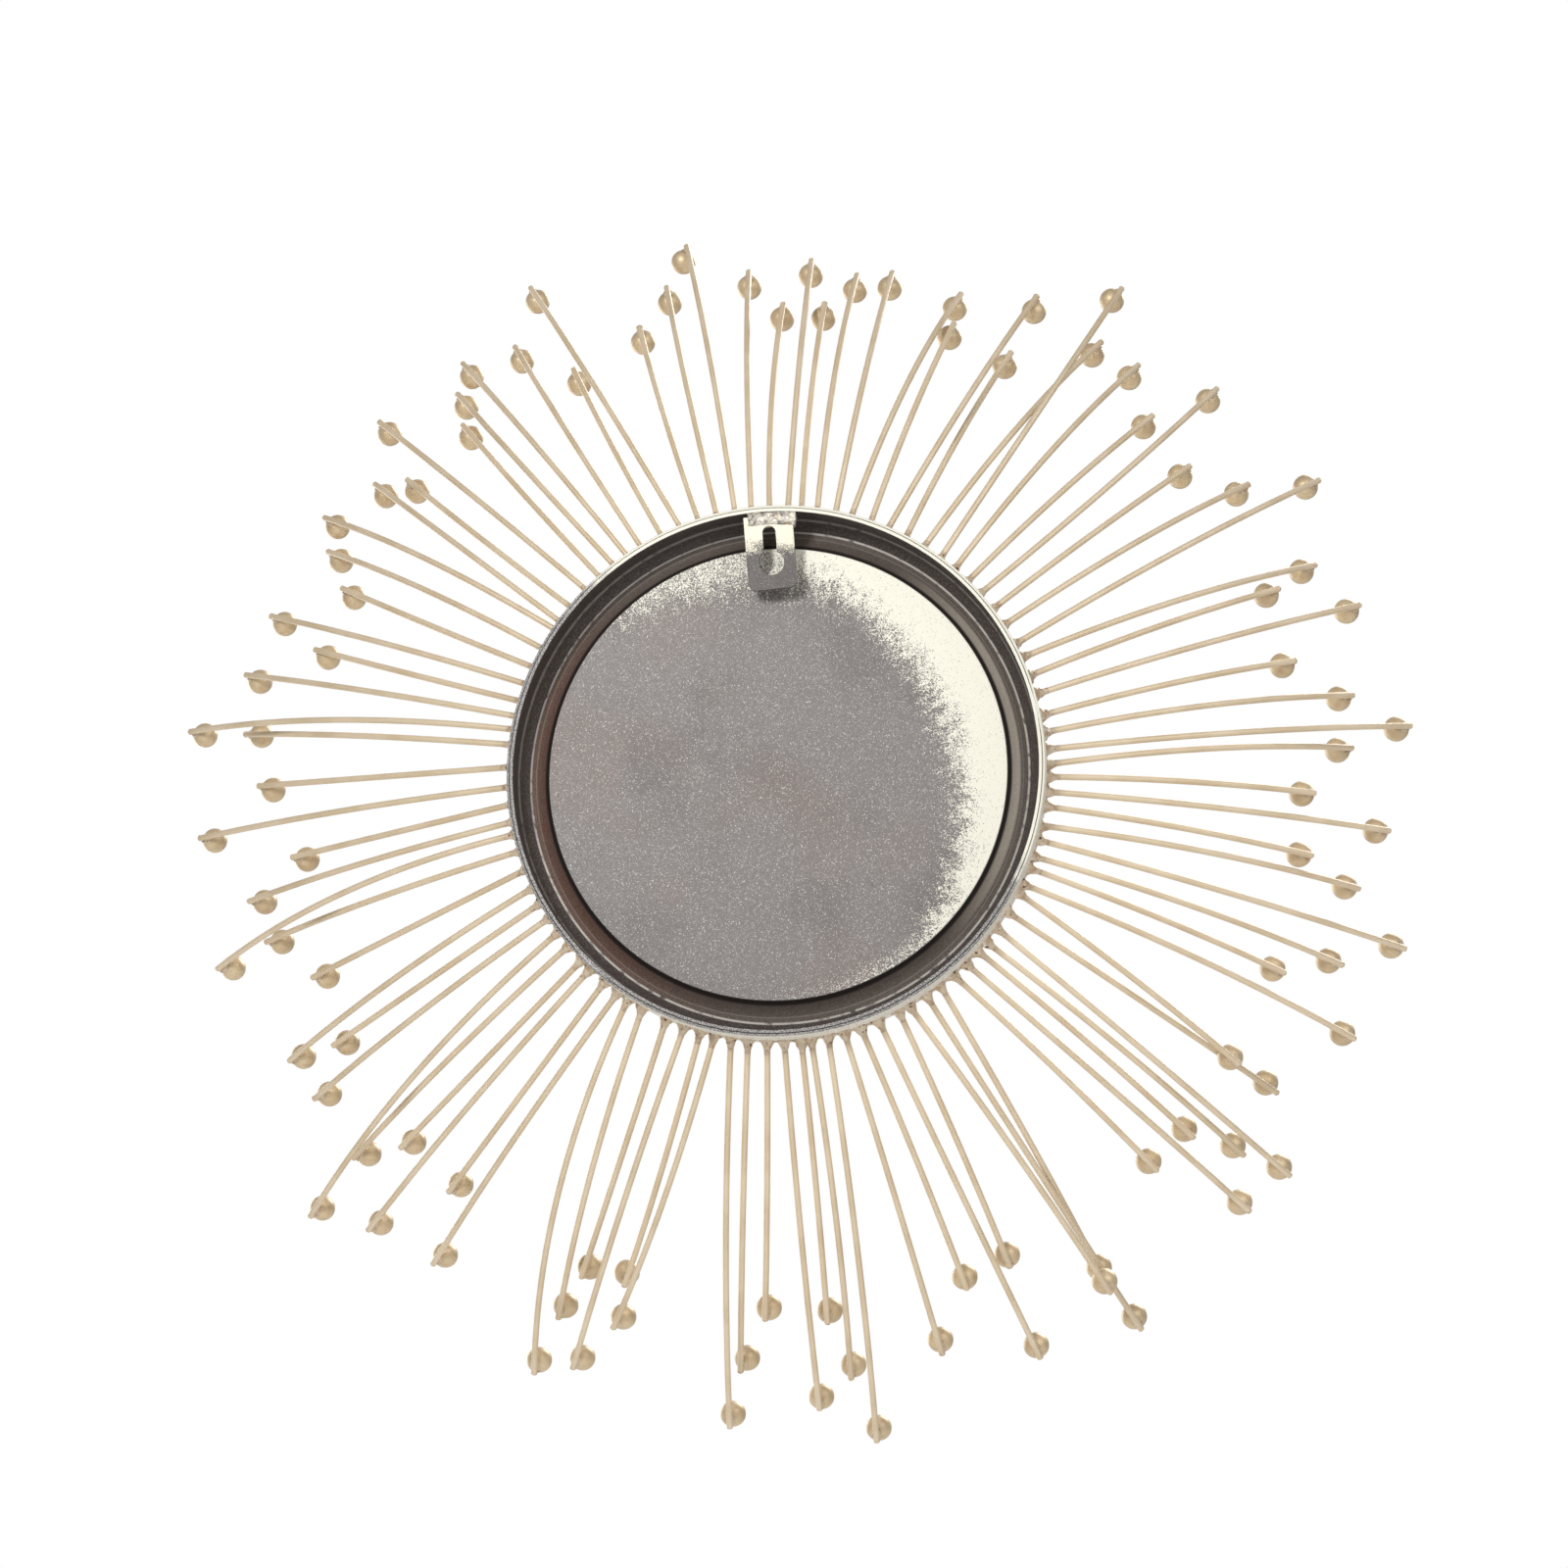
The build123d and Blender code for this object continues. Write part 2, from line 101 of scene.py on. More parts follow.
class Paint:
    """A Principled material and short calls that add nodes to it."""

    def __init__(self, name, roughness, metallic=0.0, coat=0.0):
        self.material = bpy.data.materials.new(name)
        self.material.use_nodes = True
        self.tree = self.material.node_tree
        self.shader = self.tree.nodes["Principled BSDF"]
        self.shader.inputs["Roughness"].default_value = roughness
        self.shader.inputs["Metallic"].default_value = metallic
        self.shader.inputs["Coat Weight"].default_value = coat
        self.place = self.node("ShaderNodeTexCoord").outputs["Object"]

    def node(self, kind, **settings):
        made = self.tree.nodes.new(kind)
        for key, value in settings.items():
            setattr(made, key, value)
        return made

    def feed(self, socket, value):
        """Links a socket to another, or sets its value."""
        if isinstance(value, bpy.types.NodeSocket):
            self.tree.links.new(value, socket)
        else:
            socket.default_value = value

    def math(self, operation, *values, clamp=False):
        made = self.node("ShaderNodeMath", operation=operation, use_clamp=clamp)
        for socket, value in zip(made.inputs, values):
            self.feed(socket, value)
        return made.outputs[0]

    def axes(self):
        """x, y and z of the point, in metres."""
        split = self.node("ShaderNodeSeparateXYZ")
        self.feed(split.inputs[0], self.place)
        return split.outputs

    def radius(self):
        """Distance from the mirror's own axis."""
        x, _, z = self.axes()
        return self.math("SQRT", self.math("ADD", self.math("MULTIPLY", x, x), self.math("MULTIPLY", z, z)))

    def facing(self, clockwise):
        """1 in a direction across the mirror, -1 opposite to it, and a cosine between."""
        x, _, z = self.axes()
        along_x = self.math("MULTIPLY", x, -cos(radians(clockwise)))
        along_z = self.math("MULTIPLY", z, -sin(radians(clockwise)))
        return self.math("DIVIDE", self.math("ADD", along_x, along_z), self.radius())

    def noise(self, size, detail=2.0, roughness=0.5, place=None):
        """Noise from 0 to 1 whose features have that size in metres."""
        made = self.node("ShaderNodeTexNoise")
        self.feed(made.inputs["Vector"], place or self.place)
        self.feed(made.inputs["Scale"], 1 / size)
        self.feed(made.inputs["Detail"], detail)
        self.feed(made.inputs["Roughness"], roughness)
        return made.outputs["Fac"]

    def step(self, value, low, high):
        """0 below low, 1 above high, smooth between."""
        made = self.node("ShaderNodeMapRange", interpolation_type="SMOOTHSTEP")
        self.feed(made.inputs["Value"], value)
        self.feed(made.inputs["From Min"], low)
        self.feed(made.inputs["From Max"], high)
        return made.outputs["Result"]

    def band(self, value, middle, half_width):
        """1 at the middle, fading to 0 at the half width."""
        away = self.math("ABSOLUTE", self.math("SUBTRACT", value, middle))
        return self.math("SUBTRACT", 1.0, self.step(away, half_width * 0.4, half_width))

    def mix(self, share, first, second):
        made = self.node("ShaderNodeMix", data_type="RGBA")
        self.feed(made.inputs[0], share)
        self.feed(made.inputs[6], first)
        self.feed(made.inputs[7], second)
        return made.outputs[2]

    def bump(self, height, distance, strength=1.0):
        made = self.node("ShaderNodeBump")
        self.feed(made.inputs["Height"], height)
        made.inputs["Distance"].default_value = distance
        made.inputs["Strength"].default_value = strength
        self.feed(self.shader.inputs["Normal"], made.outputs[0])

    def colour(self, value):
        self.feed(self.shader.inputs["Base Color"], value)


IVORY = srgb(226, 223, 208)
# painted glints of the floor's metal flakes
GLINT_SILVER = srgb(206, 203, 200)
# the dark enamel with painted shade, for the steep outer wall
SHADED_WALL_ENAMEL = srgb(66, 57, 54)
FLANK_ENAMEL = srgb(104, 93, 86)
RED_ENAMEL = srgb(112, 84, 72)
# painted shade in the groove by the floor
GROOVE_SHADE = srgb(34, 27, 25)
FLOOR_GREY = srgb(119, 114, 111)
FLOOR_DARK = srgb(105, 99, 96)
CHAMPAGNE = srgb(214, 198, 174)
TAN = srgb(202, 180, 152)
# dark brown of the small spots on the braze
SPOT_BROWN = srgb(74, 48, 34)


# ---- materials -------------------------------------------------------------------------------------
def rim_colour(paint):
    """The back edges: ivory overspray at the top and the right, grey speckle elsewhere."""
    grain = paint.noise(0.7 * MM, 1.0)
    grey = paint.mix(paint.step(grain, 0.42, 0.62), srgb(92, 88, 86), srgb(176, 173, 170))
    cloud = paint.math("MULTIPLY", paint.noise(9 * MM, 3.0), 0.5)
    reach = paint.math("ADD", paint.facing(-55), cloud)
    return paint.mix(paint.step(reach, 0.30, 0.55), grey, IVORY)


def streaks(paint):
    """Noise from 0 to 1 that is drawn out along the radius, as a spray leaves it."""
    x, y, z = paint.axes()
    radius = paint.radius()
    scaled = paint.node("ShaderNodeCombineXYZ")
    paint.feed(scaled.inputs[0], paint.math("DIVIDE", x, radius))
    paint.feed(scaled.inputs[1], paint.math("MULTIPLY", radius, 4.5))
    paint.feed(scaled.inputs[2], paint.math("DIVIDE", z, radius))
    return paint.noise(0.035, 3.0, 0.6, place=scaled.outputs[0])


def overspray(paint):
    """Share of light paint on the floor: a crescent at the right, specks at the top and lower right."""
    radius = paint.radius()
    cloud = paint.math("MULTIPLY", paint.math("SUBTRACT", paint.noise(30 * MM, 3.0, 0.6), 0.5), 16 * MM)
    smear = paint.math("MULTIPLY", paint.math("SUBTRACT", streaks(paint), 0.5), 30 * MM)
    ragged = paint.math("ADD", cloud, smear)
    width = paint.math("SUBTRACT", paint.math("MULTIPLY", paint.facing(-25), 36 * MM), 10 * MM)
    inner_edge = paint.math("SUBTRACT", FLOOR_RADIUS, width)
    depth = paint.math("ADD", paint.math("SUBTRACT", radius, inner_edge), ragged)
    crescent = paint.step(depth, -17 * MM, 13 * MM)
    top_width = paint.math("SUBTRACT", paint.math("MULTIPLY", paint.facing(-88), 62 * MM), 38 * MM)
    top_edge = paint.math("SUBTRACT", FLOOR_RADIUS, top_width)
    top_depth = paint.math("ADD", paint.math("SUBTRACT", radius, top_edge), ragged)
    top = paint.math("MULTIPLY", paint.step(top_depth, -12 * MM, 16 * MM), 0.52)
    low = paint.math("MULTIPLY", paint.facing(42), paint.step(radius, 96 * MM, 118 * MM))
    low = paint.math("MULTIPLY", paint.step(low, 0.55, 1.0), 0.36)
    return paint.math("MAXIMUM", paint.math("MAXIMUM", crescent, top), low)


def pan_floor(paint, grain, fine):
    """Grey-brown enamel with soft stains, silver specks painted as the glints of its metal flakes, and the
    overspray dithered by the grain.
    """
    stain = paint.step(paint.noise(45 * MM, 3.0), 0.42, 0.72)
    floor = paint.mix(stain, FLOOR_GREY, FLOOR_DARK)
    dark_specks = paint.math("MULTIPLY", paint.step(fine, 0.44, 0.32), 0.45)
    floor = paint.mix(dark_specks, floor, srgb(96, 91, 88))
    floor = paint.mix(paint.math("MULTIPLY", paint.step(fine, 0.54, 0.70), 0.34), floor, srgb(164, 160, 158))
    # painted glints: silver specks where the metal flakes would catch the light
    floor = paint.mix(paint.math("MULTIPLY", paint.step(grain, 0.71, 0.76), 0.6), floor, GLINT_SILVER)
    pink = paint.step(paint.noise(70 * MM, 1.0), 0.50, 0.66)
    floor = paint.mix(paint.math("MULTIPLY", pink, 0.16), floor, srgb(138, 108, 100))
    marks = paint.step(paint.noise(17 * MM, 4.0, 0.6), 0.685, 0.735)
    floor = paint.mix(paint.math("MULTIPLY", marks, 0.35), floor, srgb(84, 68, 62))
    dither = paint.math("MULTIPLY", paint.math("SUBTRACT", fine, 0.5), 1.7)
    cover = paint.math("ADD", overspray(paint), dither)
    return paint.mix(paint.step(cover, 0.38, 0.62), floor, IVORY)


def pan_wall(paint, grain, fine):
    """Dark satin enamel, warmer on the flank, redder at the left, with painted highlights as light lines on
    its creases and as a light band at the right, painted shade darkening the steep outer wall, and a dark
    band of painted shade in the groove by the floor.
    """
    radius = paint.radius()
    flank = paint.mix(paint.step(paint.facing(165), 0.35, 0.95), FLANK_ENAMEL, RED_ENAMEL)
    # painted shade over the dark enamel: the steep outer wall down from the rim is darker than the flank
    wall = paint.mix(paint.step(radius, *WALL_SHADE_RADII), flank, SHADED_WALL_ENAMEL)
    # painted highlight: a light band across the wall at the right, where the light catches its curve
    highlight_side = paint.step(paint.facing(-8), 0.55, 0.98)
    right_highlight = paint.math("MULTIPLY", highlight_side, paint.band(radius, HIGHLIGHT_BAND_RADIUS, 3.2 * MM))
    wall = paint.mix(paint.math("MULTIPLY", right_highlight, 0.9), wall, srgb(214, 204, 188))
    specks = paint.math("MULTIPLY", paint.step(fine, 0.56, 0.70), 0.40)
    wall = paint.mix(specks, wall, srgb(150, 142, 134))
    dark_specks = paint.math("MULTIPLY", paint.step(fine, 0.44, 0.32), 0.35)
    wall = paint.mix(dark_specks, wall, srgb(30, 25, 24))
    # painted highlights: thin light lines on the crest and at the top of the wall, kept in noisy patches,
    # and a fainter one on the second crease
    highlight_patches = paint.step(paint.noise(5 * MM, 3.0), 0.28, 0.50)
    crest_highlight = paint.band(radius, CREST_RADIUS - 0.9 * MM, 0.75 * MM)
    wall_top_highlight = paint.math("MULTIPLY", paint.band(radius, WALL_RADIUS - 0.7 * MM, 0.5 * MM), 0.35)
    wall = paint.mix(paint.math("MULTIPLY", paint.math("MAXIMUM", crest_highlight, wall_top_highlight), highlight_patches), wall,
                     srgb(196, 190, 180))
    second = paint.math("MULTIPLY", paint.band(radius, SECOND_CREASE, 0.45 * MM), 0.35)
    wall = paint.mix(second, wall, srgb(170, 162, 150))
    # painted shade: a dark band in the groove where the wall steps down to the floor
    groove_shade = paint.step(radius, *GROOVE_SHADE_EDGE)
    return paint.mix(groove_shade, wall, GROOVE_SHADE)


def pan_paint():
    """The floor, the wall and the back edge of the pan, each with its own paint."""
    paint = Paint("pan_steel", roughness=0.46, metallic=0.15, coat=0.04)
    grain = paint.noise(1.1 * MM, 1.0)
    fine = paint.noise(0.45 * MM, 0.0)
    body = paint.mix(paint.step(paint.radius(), FLOOR_RADIUS, FLOOR_RADIUS + 0.5 * MM),
                     pan_floor(paint, grain, fine), pan_wall(paint, grain, fine))
    # the back edge of the side wall
    _, y, _ = paint.axes()
    body = paint.mix(paint.step(y, -1.0 * MM, -0.4 * MM), body, rim_colour(paint))
    paint.colour(body)
    paint.bump(fine, 0.08 * MM)
    return paint.material


def hoop_paint():
    """Mottled champagne to ivory on the hoop's side, and the rim's colour on its back edge."""
    paint = Paint("hoop_paint", roughness=0.5, metallic=0.1)
    _, y, _ = paint.axes()
    grain = paint.noise(0.9 * MM, 2.0)
    side = paint.mix(paint.step(grain, 0.35, 0.62), srgb(205, 196, 180), srgb(243, 240, 232))
    paint.colour(paint.mix(paint.step(y, -0.8 * MM, -0.25 * MM), side, rim_colour(paint)))
    paint.bump(paint.noise(2.5 * MM, 3.0), 0.15 * MM)
    return paint.material


def tab_paint():
    """Ivory overspray at the top of the hanger that thins out to bare grey-brown enamel."""
    paint = Paint("tab_steel", roughness=0.4, metallic=0.25)
    _, _, z = paint.axes()
    grain = paint.noise(0.45 * MM, 1.0)
    cloud = paint.math("MULTIPLY", paint.math("SUBTRACT", paint.noise(8 * MM, 3.0), 0.5), 16 * MM)
    height = paint.math("ADD", z, cloud)
    share = paint.step(height, TAB_TOP - 27 * MM, TAB_TOP - 9 * MM)
    cover = paint.math("ADD", share, paint.math("MULTIPLY", paint.math("SUBTRACT", grain, 0.5), 2.0))
    bare = paint.mix(paint.step(grain, 0.48, 0.66), srgb(68, 63, 61), srgb(106, 100, 96))
    paint.colour(paint.mix(paint.step(cover, 0.40, 0.66), bare, srgb(214, 208, 188)))
    paint.bump(grain, 0.06 * MM)
    return paint.material


def gold_paint(name, light, deep, roughness, metallic, size):
    """Satin champagne gold with soft uneven patches and a fine grain."""
    paint = Paint(name, roughness=roughness, metallic=metallic, coat=0.05)
    patches = paint.step(paint.noise(size, 2.0, 0.5), 0.35, 0.70)
    tone = paint.mix(patches, light, deep)
    specks = paint.step(paint.noise(1.1 * MM, 2.0), 0.70, 0.76)
    tone = paint.mix(paint.math("MULTIPLY", specks, 0.35), tone, srgb(150, 122, 92))
    paint.colour(tone)
    paint.bump(paint.noise(3 * MM, 2.0), 0.02 * MM)
    return paint.material


def braze_paint():
    """Tan paint over lumpy braze, with light patches, brown burns and small dark brown spots, most of them
    near the hoop.
    """
    paint = Paint("braze", roughness=0.48, metallic=0.25, coat=0.05)
    tone = paint.mix(paint.step(paint.noise(4 * MM, 4.0, 0.6), 0.40, 0.62), CHAMPAGNE, TAN)
    light = paint.step(paint.noise(3.0 * MM, 3.0, 0.6), 0.56, 0.66)
    near_hoop = paint.step(paint.radius(), HOOP_RADIUS + 6 * MM, HOOP_RADIUS + 2 * MM)
    tone = paint.mix(paint.math("MULTIPLY", light, near_hoop), tone, srgb(232, 226, 214))
    burn = paint.step(paint.noise(4.5 * MM, 4.0, 0.7), 0.50, 0.62)
    tone = paint.mix(paint.math("MULTIPLY", burn, 0.55), tone, srgb(164, 128, 94))
    # small dark brown spots, darker and more of them near the hoop where rod and hoop meet
    dark_specks = paint.step(paint.noise(2.2 * MM, 2.0), 0.64, 0.68)
    strength = paint.math("ADD", paint.math("MULTIPLY", near_hoop, 0.6), 0.4)
    tone = paint.mix(paint.math("MULTIPLY", dark_specks, strength), tone, SPOT_BROWN)
    paint.colour(tone)
    paint.bump(paint.noise(0.9 * MM, 4.0, 0.6), 0.15 * MM)
    return paint.material


def weld_paint():
    """Ivory paint over the weld, worn to grey metal in patches, with tan stains."""
    paint = Paint("hanger_weld", roughness=0.42, metallic=0.3)
    metal = paint.step(paint.noise(3.5 * MM, 3.0), 0.42, 0.60)
    tone = paint.mix(metal, srgb(202, 196, 182), srgb(128, 122, 116))
    tone = paint.mix(paint.step(paint.noise(5 * MM, 3.0), 0.58, 0.68), tone, srgb(178, 146, 112))
    paint.colour(tone)
    paint.bump(paint.noise(1.2 * MM, 4.0), 0.15 * MM)
    return paint.material


def mirror_silver():
    """Silvered glass: a polished reflector with a very faint unevenness."""
    paint = Paint("mirror", roughness=0.015, metallic=1.0)
    faint = paint.step(paint.noise(80 * MM, 1.0), 0.0, 1.0)
    paint.colour(paint.mix(faint, srgb(240, 243, 244), srgb(236, 240, 242)))
    return paint.material


def pad_foam():
    """Black mounting foam."""
    paint = Paint("pad_foam", roughness=0.9)
    paint.colour(paint.mix(paint.noise(1.5 * MM, 2.0), srgb(30, 30, 30), srgb(52, 51, 50)))
    paint.bump(paint.noise(1.0 * MM, 1.0), 0.2 * MM)
    return paint.material


# ---- reading the rays off the frame ----------------------------------------------------------------
def loose_solids(node):
    """The vertex positions of each separate solid of a node, in an order that is the same in every run."""
    mesh = bmesh.new()
    mesh.from_mesh(node.data)
    bmesh.ops.remove_doubles(mesh, verts=mesh.verts, dist=0.01 * MM)
    waiting = set(mesh.verts)
    solids = []
    while waiting:
        reached = [waiting.pop()]
        points = []
        while reached:
            vertex = reached.pop()
            points.append(vertex.co.copy())
            for link in vertex.link_edges:
                other = link.other_vert(vertex)
                if other in waiting:
                    waiting.remove(other)
                    reached.append(other)
        solids.append(sorted(points, key=tuple))
    mesh.free()
    return sorted(solids, key=lambda points: tuple(middle(points)))


def middle(points):
    """The centre of the points' box."""
    low = Vector(min(p[i] for p in points) for i in range(3))
    high = Vector(max(p[i] for p in points) for i in range(3))
    return (low + high) / 2


def from_axis(point):
    """Distance of a point from the mirror's axis."""
    return (point.x ** 2 + point.z ** 2) ** 0.5


def centre(points):
    """The average of the points."""
    points = list(points)
    return sum(points, Vector()) / len(points)


class Ray:
    """Root, seat, end and directions of one rod, and the centre of its ball."""

    def __init__(self, points, balls):
        innermost = min(points, key=from_axis)
        self.root = centre(p for p in points if (p - innermost).length < 2.2 * ROD_RADIUS)
        # rings of vertices follow each other along the rod: the last is its end, the one before its seat
        reach = max((p - self.root).length for p in points)
        back = {tuple(p): reach - (p - self.root).length for p in points}
        self.end = centre(p for p in points if back[tuple(p)] < 0.45 * ROD_OVERHANG)
        self.seat = centre(p for p in points if 0.55 * ROD_OVERHANG < back[tuple(p)] < 1.4 * ROD_OVERHANG)
        self.tip_direction = (self.end - self.seat).normalized()
        onward = [p for p in points if (p - self.root).length > 3 * ROD_RADIUS]
        nearest = min(onward, key=lambda p: (p - self.root).length)
        second = centre(p for p in onward if (p - nearest).length < 2.2 * ROD_RADIUS)
        self.root_direction = (second - self.root).normalized()
        self.ball = min(balls, key=lambda place: (place - self.seat).length)


def rays_of(bundle):
    """The six rays of a bundle."""
    balls = [middle(points) for points in loose_solids(nodes[f"ray_balls_{bundle:02d}"])]
    return [Ray(points, balls) for points in loose_solids(nodes[f"rays_{bundle:02d}"])]


# ---- hand-made braze -------------------------------------------------------------------------------
def wobble(point, size, seed):
    """Smooth noise from about -1 to 1 at a place, for lumps of that size."""
    return noise.noise(point / size + Vector((seed, 2 * seed, 3 * seed)))


def grid_faces(rows, columns, first, closed):
    """Quads between the rows of a grid of vertices that starts at a vertex number."""
    faces = []
    for row in range(rows - 1):
        for column in range(columns if closed else columns - 1):
            beside = (column + 1) % columns
            faces.append((first + row * columns + column, first + row * columns + beside,
                          first + (row + 1) * columns + beside, first + (row + 1) * columns + column))
    return faces


def add_flare(vertices, faces, ray, seed):
    """Braze that spreads from a rod's root over the outside of the hoop."""
    rings, around = 14, 28
    length = (FLARE_LENGTH + 1.5 * wobble(ray.root, 20 * MM, seed)) * MM
    skew = wobble(ray.root, 9 * MM, seed + 4)
    collar = 0.35 + 0.8 * abs(wobble(ray.root, 7 * MM, seed + 9))
    across = ray.root_direction.cross(Vector((0, 1, 0))).normalized()
    forward = ray.root_direction.cross(across).normalized()
    first = len(vertices)
    for row in range(rings):
        share = row / (rings - 1)
        spread = (1 - share) ** 4.2
        ring_centre = ray.root + ray.root_direction * (length * share - FLARE_START * MM * (1 - share))
        for step in range(around):
            turn = 2 * pi * step / around
            swell = collar * MM * sin(pi * min(1.0, share * 1.25)) ** 2
            sleeve = ROD_RADIUS + BRAZE_SKIN * MM + swell
            wide = sleeve + (FLARE_WIDTH + 1.6 * skew * cos(turn)) * MM * spread
            high = sleeve + FLARE_HEIGHT * MM * spread
            point = ring_centre + across * cos(turn) * wide + forward * sin(turn) * high
            lumps = wobble(point, 2.0 * MM, seed) * (0.95 * spread + 0.30 * (1 - share))
            point += (point - ring_centre).normalized() * lumps * MM
            if row == 0:
                scale = (HOOP_RADIUS - 0.15 * MM) / from_axis(point)
                point = Vector((point.x * scale, point.y, point.z * scale))
            vertices.append(point)
    faces.extend(grid_faces(rings, around, first, True))


def add_puddle(vertices, faces, ray, seed):
    """Braze that lies on the ball along both sides of the rod, as a lumpy skin with an uneven edge."""
    rows, columns = 23, 21
    up = (ray.seat - ray.ball).normalized()
    along = ray.tip_direction
    across = up.cross(along).normalized()
    start = 0.50 + 0.20 * wobble(ray.ball, 8 * MM, seed + 2)
    stop = 0.62 + 0.14 * wobble(ray.ball, 8 * MM, seed + 3)
    first = len(vertices)
    for row in range(rows):
        u = 2 * row / (rows - 1) - 1
        lift = (stop if u > 0 else start) * u
        for column in range(columns):
            v = 2 * column / (columns - 1) - 1
            half_width = PUDDLE_HALF_WIDTH * MM if v > 0 else -PUDDLE_HALF_WIDTH * MM
            edge_place = ray.ball + along * u * PUDDLE_HALF_LENGTH * MM + across * half_width
            reach = 0.40 + 0.14 * wobble(edge_place, 2.4 * MM, seed)
            side = reach * v * (1 - 0.45 * u * u)
            normal = (up * cos(lift) * cos(side) + along * sin(lift) * cos(side)
                      + across * sin(side)).normalized()
            # the skin climbs to the rod's flank in the notch, and thins out on the ball
            gap = BALL_RADIUS * (1 / cos(lift) - 1)
            near = max(0.0, 1 - (abs(side) * BALL_RADIUS / (PUDDLE_HALF_WIDTH * MM)) ** 1.5)
            height = (min(gap, PUDDLE_MOST * MM) + PUDDLE_RISE * MM) * near * (1 - abs(u) ** 5)
            place = ray.ball + normal * BALL_RADIUS
            height += 0.14 * MM * wobble(place, 1.8 * MM, seed) * near
            rim = -0.15 * MM if max(abs(u), abs(v)) > 0.99 else 0.03 * MM
            vertices.append(ray.ball + normal * (BALL_RADIUS + height + rim))
    faces.extend(grid_faces(rows, columns, first, False))


def add_nib(vertices, faces, ray, seed):
    """The lump of braze that closes a rod's end."""
    rings, around = 12, 18
    size = (NIB_RADIUS + 0.35 * wobble(ray.ball, 9 * MM, seed)) * MM
    across = ray.tip_direction.cross(Vector((0, 1, 0))).normalized()
    forward = ray.tip_direction.cross(across).normalized()
    first = len(vertices)
    for row in range(rings):
        slope = pi * row / (rings - 1)
        for step in range(around):
            turn = 2 * pi * step / around
            offset = (ray.tip_direction * -cos(slope) * 0.75 * size
                      + (across * cos(turn) + forward * sin(turn)) * sin(slope) * size)
            point = ray.end - ray.tip_direction * 0.3 * MM + offset
            vertices.append(point + offset.normalized() * 0.22 * MM * wobble(point, 1.8 * MM, seed))
    faces.extend(grid_faces(rings, around, first, True))


def shown_mesh(name, vertices, faces, material):
    """A smooth mesh that rides the body and takes the material it is given."""
    mesh = bpy.data.meshes.new(name)
    mesh.from_pydata(vertices, [], faces)
    mesh.validate()
    mesh.polygons.foreach_set("use_smooth", [True] * len(mesh.polygons))
    mesh.materials.append(material)
    made = bpy.data.objects.new(name, mesh)
    bpy.context.scene.collection.objects.link(made)
    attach(made, "root")
    return made


def braze_bundle(bundle, material):
    """The flares, puddles and end lumps of one bundle of six rays."""
    vertices, faces = [], []
    for place, ray in enumerate(rays_of(bundle)):
        seed = bundle * 7.3 + place
        add_flare(vertices, faces, ray, seed)
        add_puddle(vertices, faces, ray, seed)
        add_nib(vertices, faces, ray, seed)
    made = shown_mesh(f"braze_{bundle:02d}", vertices, faces, material)
    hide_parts(f"ray_brazes_{bundle:02d}")


def hanger_bead(material):
    """The bead over the hanger's upper edge: the CAD bead, remeshed and made lumpy."""
    source = nodes["hanger_weld"]
    made = bpy.data.objects.new("weld_bead", source.data.copy())
    bpy.context.scene.collection.objects.link(made)
    remesh = made.modifiers.new("remesh", "REMESH")
    remesh.mode = "VOXEL"
    remesh.voxel_size = WELD_VOXEL * MM
    bpy.context.view_layer.update()
    depsgraph = bpy.context.evaluated_depsgraph_get()
    mesh = bpy.data.meshes.new_from_object(made.evaluated_get(depsgraph))
    made.modifiers.clear()
    made.data = mesh
    for vertex in mesh.vertices:
        lump = 0.75 * wobble(vertex.co, 4.5 * MM, 3) + 0.35 * wobble(vertex.co, 1.6 * MM, 5)
        vertex.co += vertex.normal * lump * MM
        vertex.co.y = min(vertex.co.y, -WALL_CLEARANCE * MM)
    mesh.polygons.foreach_set("use_smooth", [True] * len(mesh.polygons))
    mesh.materials.clear()
    mesh.materials.append(material)
    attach(made, "root")
    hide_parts("hanger_weld")


def paint_node(name, material):
    """Gives a CAD node that is shown as it is its material."""
    node = nodes[name]
    node.data.materials.clear()
    node.data.materials.append(material)


def build_object():
    """Paints the CAD nodes and puts the hand-made braze in place of the plain one."""
    braze = braze_paint()
    rod_gold = gold_paint("ray_gold", srgb(222, 204, 176), srgb(211, 191, 160), 0.50, 0.25, 22 * MM)
    ball_gold = gold_paint("ball_gold", srgb(216, 195, 160), srgb(201, 178, 144), 0.46, 0.40, 9 * MM)
    paint_node("back_pan", pan_paint())
    paint_node("ray_hoop", hoop_paint())
    paint_node("hanger_tab", tab_paint())
    paint_node("mirror_glass", mirror_silver())
    paint_node("glass_pad", pad_foam())
    hanger_bead(weld_paint())
    for bundle in range(1, BUNDLES + 1):
        paint_node(f"rays_{bundle:02d}", rod_gold)
        paint_node(f"ray_balls_{bundle:02d}", ball_gold)
        braze_bundle(bundle, braze)


# ---- floor, light and camera -----------------------------------------------------------------------
def pale_floor():
    """A plain pale floor below the mirror."""
    bpy.ops.mesh.primitive_plane_add(size=14, location=(0, 0, -0.9))
    floor = bpy.context.object
    floor.name = "studio_floor"
    paint = Paint("studio_floor", roughness=0.8)
    paint.colour(paint.mix(paint.noise(0.5, 1.0), srgb(238, 238, 237), srgb(242, 242, 241)))
    floor.data.materials.append(paint.material)


def area_light(name, place, size, power):
    """A soft square light that points at the mirror's middle."""
    light = bpy.data.lights.new(name, "AREA")
    light.size = size
    light.energy = power
    lamp = bpy.data.objects.new(name, light)
    lamp.location = place
    lamp.rotation_euler = (-Vector(place)).to_track_quat("-Z", "Y").to_euler()
    bpy.context.scene.collection.objects.link(lamp)


